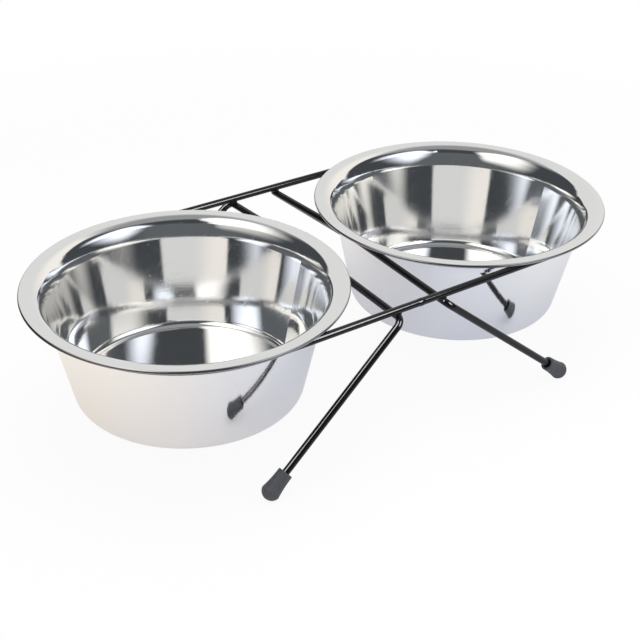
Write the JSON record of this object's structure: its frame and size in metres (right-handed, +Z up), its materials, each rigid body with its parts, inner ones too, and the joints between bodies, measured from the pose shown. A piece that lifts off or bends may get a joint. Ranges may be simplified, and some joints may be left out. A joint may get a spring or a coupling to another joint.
{
  "type": "double pet bowl",
  "caption": "Two steel feeding bowls with wide rims hang side by side in a raised black wire stand on flared rubber feet; each bowl lifts out for washing.",
  "frame": {"origin": "on the floor, midway between the bowls and midway from front to back", "axes": "+X from the left bowl to the right one along the bars, +Y to the rear, +Z up"},
  "size_m": [0.3544, 0.187, 0.08],
  "materials": {
    "bowl_steel": "stainless steel, mirror polished",
    "wire_black": "gloss black coating on steel wire",
    "foot_rubber": "matt dark grey moulded rubber"
  },
  "bodies": {
    "stand": {"frame_loop": "wire_black", "left_leg_wire": "wire_black", "right_leg_wire": "wire_black", "foot_front_left": "foot_rubber", "foot_front_right": "foot_rubber", "foot_rear_left": "foot_rubber", "foot_rear_right": "foot_rubber"},
    "left_bowl": {"bowl_left": "bowl_steel"},
    "right_bowl": {"bowl_right": "bowl_steel"}
  },
  "joints": [
    {"name": "left_bowl_lift", "type": "slide", "parent": "stand", "child": "left_bowl", "axis": [0, 0, 1], "range_m": [0, 0.08]},
    {"name": "right_bowl_lift", "type": "slide", "parent": "stand", "child": "right_bowl", "axis": [0, 0, 1], "range_m": [0, 0.08]}
  ]
}
